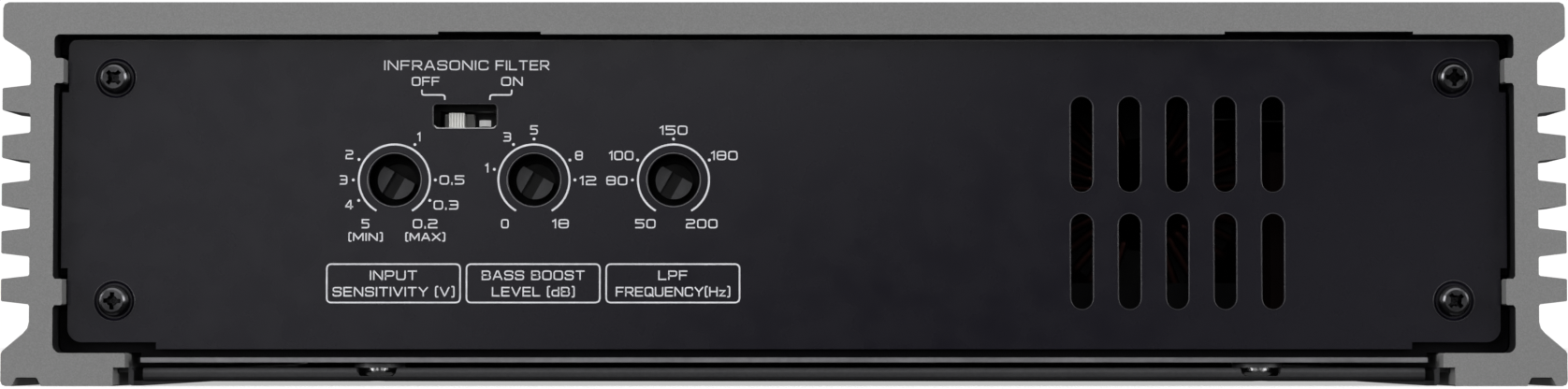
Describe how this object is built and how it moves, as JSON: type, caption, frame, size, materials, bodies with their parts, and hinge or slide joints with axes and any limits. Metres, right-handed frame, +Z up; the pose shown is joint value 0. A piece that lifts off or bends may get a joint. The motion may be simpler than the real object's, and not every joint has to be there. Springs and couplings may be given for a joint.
{
  "type": "car amplifier",
  "caption": "Finned aluminium car amplifier with dials, a filter switch and vents on one end panel, and terminals, fuses and line sockets on the other.",
  "frame": {"origin": "middle of the base of the whole object, in the plane of the feet", "axes": "+Z up, +X across the width to the right as seen from the control end, +Y from the control end to the terminal end"},
  "size_m": [0.251, 0.211, 0.0617],
  "materials": {
    "housing": "fine bead-blasted grey anodised",
    "panel": "satin black powder coat",
    "bracket": "satin black",
    "cover": "satin black",
    "screw_black": "black oxide",
    "screw_zinc": "bright zinc",
    "board": "solder mask over glass epoxy",
    "spacer": "nylon",
    "housing_black": "moulded",
    "shaft": "moulded",
    "knob": "moulded",
    "clip": "tinned spring strip",
    "transistor": "moulded",
    "pad": "silicone",
    "bar": "plated",
    "ferrite": "sintered",
    "winding": "enamelled copper wire",
    "capacitor": "shrunk sleeve",
    "film": "resin box",
    "brass": "plated",
    "fuse": "clear moulded",
    "blade": "zinc",
    "sleeve": "plated",
    "insert": "moulded",
    "lamp": "tinted lens"
  },
  "bodies": {
    "chassis": {"heatsink": "housing", "front_panel": "panel", "front_bracket": "bracket", "front_panel_screws": "screw_black", "rear_panel": "panel", "rear_bracket": "bracket", "rear_panel_screws": "screw_black", "bottom_cover": "cover", "cover_screws": "screw_zinc", "bracket_screws": "screw_zinc", "main_board": "board", "board_spacers": "spacer", "board_screws": "screw_zinc", "control_board": "board", "control_header": "housing_black", "gain_pot": "housing_black", "boost_pot": "housing_black", "lowpass_pot": "housing_black", "filter_switch_body": "housing_black", "filter_switch_clip": "clip", "supply_transistors": "transistor", "output_transistors": "transistor", "thermal_pads": "pad", "clamp_bars": "bar", "clamp_screws": "screw_zinc", "transformer_core": "ferrite", "transformer_winding": "winding", "output_choke_core": "ferrite", "output_choke_winding": "winding", "choke_base": "housing_black", "input_choke_core": "ferrite", "input_choke_winding": "winding", "input_capacitors": "capacitor", "rail_capacitors": "capacitor", "film_capacitors": "film", "power_terminal_housing": "housing_black", "power_terminal_clamps": "brass", "power_terminal_screws": "screw_zinc", "speaker_terminal_housing": "housing_black", "speaker_terminal_clamps": "brass", "speaker_terminal_screws": "screw_zinc", "fuse_holder": "housing_black", "fuse_clips": "clip", "rca_housing": "housing_black", "rca_sleeves": "sleeve", "rca_inserts": "insert", "remote_socket": "housing_black", "status_lamp": "lamp"},
    "gain_dial": {"gain_shaft": "shaft"},
    "boost_dial": {"boost_shaft": "shaft"},
    "lowpass_dial": {"lowpass_shaft": "shaft"},
    "filter_slider": {"filter_switch_knob": "knob"},
    "fuse_1": {"fuse_1_body": "fuse", "fuse_1_blades": "blade"},
    "fuse_2": {"fuse_2_body": "fuse", "fuse_2_blades": "blade"},
    "fuse_3": {"fuse_3_body": "fuse", "fuse_3_blades": "blade"}
  },
  "joints": [
    {"name": "gain_turn", "type": "hinge", "parent": "chassis", "child": "gain_dial", "pos_m": [-0.0629, -0.0955, 0.03324], "axis": [0, 1, 0], "range_deg": [0, 300]},
    {"name": "boost_turn", "type": "hinge", "parent": "chassis", "child": "boost_dial", "pos_m": [-0.04037, -0.0955, 0.03324], "axis": [0, 1, 0], "range_deg": [0, 300]},
    {"name": "lowpass_turn", "type": "hinge", "parent": "chassis", "child": "lowpass_dial", "pos_m": [-0.01784, -0.0955, 0.03324], "axis": [0, 1, 0], "range_deg": [0, 300]},
    {"name": "filter_slide", "type": "slide", "parent": "chassis", "child": "filter_slider", "axis": [1, 0, 0], "range_m": [0, 0.0028]},
    {"name": "fuse_1_pull", "type": "slide", "parent": "chassis", "child": "fuse_1", "axis": [0, 1, 0], "range_m": [0, 0.02]},
    {"name": "fuse_2_pull", "type": "slide", "parent": "chassis", "child": "fuse_2", "axis": [0, 1, 0], "range_m": [0, 0.02]},
    {"name": "fuse_3_pull", "type": "slide", "parent": "chassis", "child": "fuse_3", "axis": [0, 1, 0], "range_m": [0, 0.02]}
  ]
}
